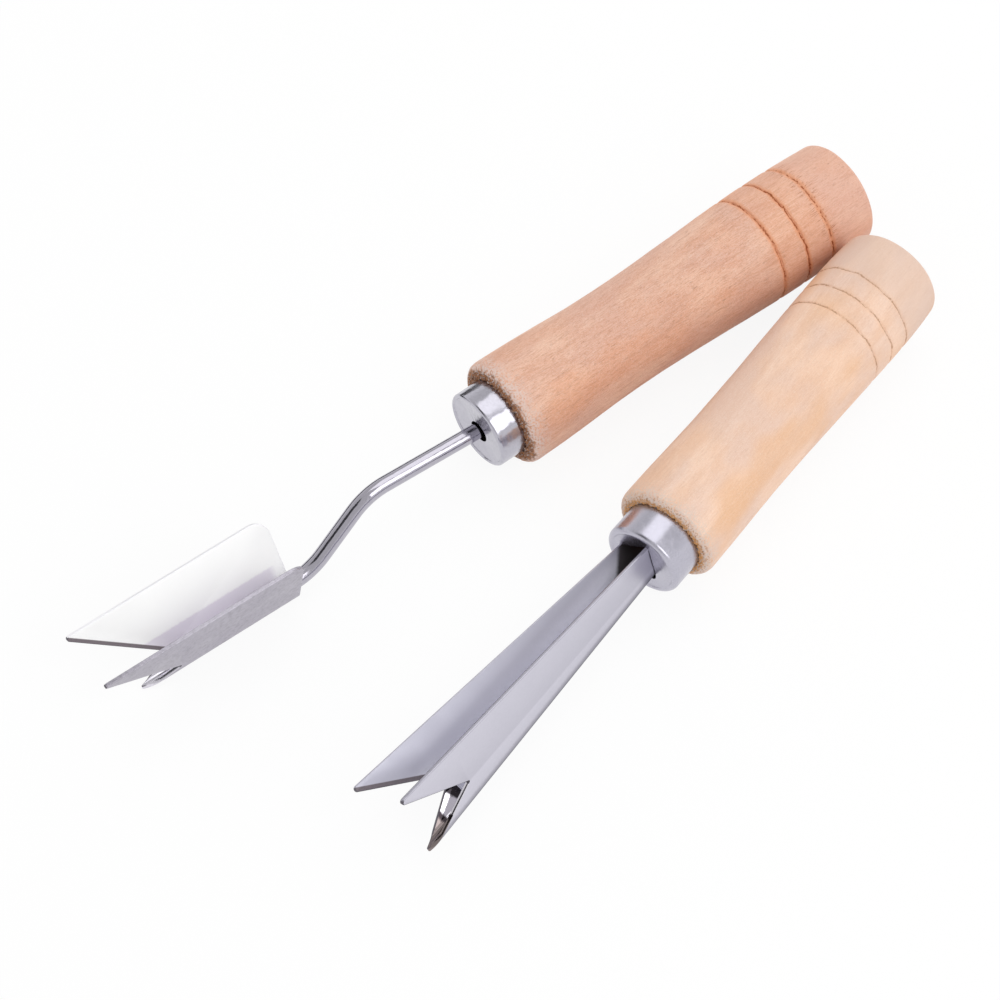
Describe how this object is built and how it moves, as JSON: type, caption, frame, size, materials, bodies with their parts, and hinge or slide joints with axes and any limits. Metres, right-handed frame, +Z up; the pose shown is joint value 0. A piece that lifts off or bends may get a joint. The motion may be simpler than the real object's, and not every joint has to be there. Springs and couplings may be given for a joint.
{
  "type": "uncapping fork",
  "caption": "Pair of honeycomb uncapping tools: turned wooden handles, steel ferrules and folded V blades that end in points, one driven into its handle and one welded to a cranked rod.",
  "frame": {"origin": "middle of the pair's bounding box, on the surface that the handles rest on", "axes": "+Z up from the surface; +Y along the fork's handle from its blade to its butt; the scraper lies on the -X side"},
  "size_m": [0.108, 0.231, 0.0299],
  "materials": {
    "pale_wood": "bare turned wood, pale cream",
    "pink_wood": "bare turned wood, pinkish tan with torn grain",
    "ferrule_steel": "bright plated steel, lightly scuffed",
    "fork_steel": "polished sheet steel",
    "scraper_steel": "polished sheet steel",
    "rod_steel": "drawn steel rod, satin",
    "weld_metal": "bare weld, lumpy"
  },
  "bodies": {
    "root": {"fork_handle": "pale_wood", "fork_ferrule": "ferrule_steel", "fork_blade": "fork_steel", "scraper_handle": "pink_wood", "scraper_ferrule": "ferrule_steel", "scraper_rod": "rod_steel", "scraper_blade": "scraper_steel", "scraper_weld": "weld_metal"}
  },
  "joints": []
}
